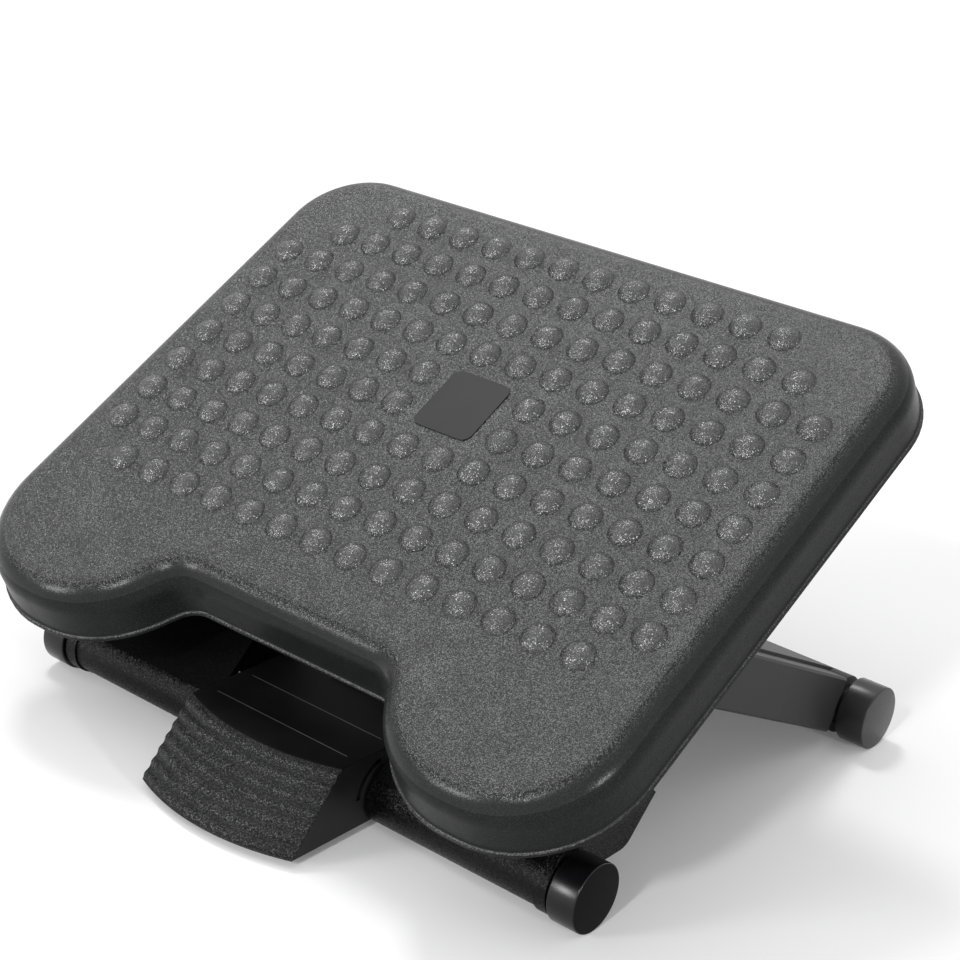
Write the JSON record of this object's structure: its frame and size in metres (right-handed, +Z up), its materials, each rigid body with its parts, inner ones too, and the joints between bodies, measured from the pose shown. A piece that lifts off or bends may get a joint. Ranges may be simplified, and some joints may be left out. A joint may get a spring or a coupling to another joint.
{
  "type": "adjustable footrest",
  "caption": "Under-desk footrest: a tilted moulded platform with massage bumps on folding crossed legs, set in height by a foot pedal and ratchet.",
  "frame": {"origin": "on the floor, at the middle of the footprint box of the rest pose", "axes": "+X across to the right as the user sees it, +Y from the pedal at the front to the rear, +Z up"},
  "size_m": [0.46, 0.392, 0.2735],
  "materials": {
    "platform_plastic": "fine sand-grained moulding",
    "badge_plastic": "smooth satin, bare",
    "front_leg_plastic": "fine sand-grained moulding",
    "rear_leg_plastic": "smooth satin moulding",
    "pedal_plastic": "fine sand-grained moulding",
    "smooth_black_plastic": "smooth semi-gloss",
    "rear_foot_plastic": "smooth satin",
    "bearing_plastic": "smooth low-friction plastic",
    "steel": "zinc-plated",
    "spring_steel": "blued spring strip"
  },
  "bodies": {
    "front_feet": {"front_axle": "steel", "front_foot_left": "smooth_black_plastic", "front_foot_right": "smooth_black_plastic"},
    "front_leg": {"front_leg_panel": "front_leg_plastic", "front_roll_left": "front_leg_plastic", "front_roll_right": "front_leg_plastic", "front_rail_left": "front_leg_plastic", "front_rail_right": "front_leg_plastic", "pivot_pin_left": "steel", "pivot_pin_right": "steel", "pivot_washer_left": "bearing_plastic", "pivot_washer_right": "bearing_plastic", "pedal_spring": "spring_steel"},
    "rear_leg": {"rear_tube": "rear_leg_plastic", "rear_web_panel": "rear_leg_plastic", "rear_arm_left": "rear_leg_plastic", "rear_arm_right": "rear_leg_plastic", "rear_foot_left": "rear_foot_plastic", "rear_foot_right": "rear_foot_plastic", "ratchet_quadrant_left": "rear_leg_plastic", "ratchet_quadrant_right": "rear_leg_plastic", "slide_pin_left": "steel", "slide_pin_right": "steel", "slide_shoe_left": "bearing_plastic", "slide_shoe_right": "bearing_plastic"},
    "platform": {"platform_shell": "platform_plastic", "badge_plate": "badge_plastic", "hinge_bracket_left": "front_leg_plastic", "hinge_bracket_right": "front_leg_plastic", "slide_track_left": "front_leg_plastic", "slide_track_right": "front_leg_plastic", "platform_hinge_rod": "steel", "hinge_screws": "steel", "track_screws": "steel"},
    "pedal": {"pedal": "pedal_plastic", "pedal_label_plate": "smooth_black_plastic", "pawl_pin": "steel"}
  },
  "joints": [
    {"name": "front_leg_fold", "type": "hinge", "parent": "front_feet", "child": "front_leg", "pos_m": [0, -0.112, 0.02], "axis": [1, 0, 0], "range_deg": [-21, 0]},
    {"name": "rear_leg_spread", "type": "hinge", "parent": "front_leg", "child": "rear_leg", "pos_m": [0, -0.02226, 0.11457], "axis": [1, 0, 0], "range_deg": [0, 31.75]},
    {"name": "platform_tilt", "type": "hinge", "parent": "front_leg", "child": "platform", "pos_m": [0, 0.07529, 0.21736], "axis": [1, 0, 0], "range_deg": [0, 6.54]},
    {"name": "pedal_press", "type": "hinge", "parent": "front_leg", "child": "pedal", "pos_m": [0, -0.112, 0.02], "axis": [1, 0, 0], "range_deg": [0, 3], "stiffness_Nm_per_rad": 6, "springref_deg": -5.73, "deforming": ["pedal_spring"]}
  ],
  "couplings": [
    {"joint": "rear_leg_spread", "follows": "front_leg_fold", "ratio": -1.5093},
    {"joint": "platform_tilt", "follows": "front_leg_fold", "ratio": -0.309}
  ]
}
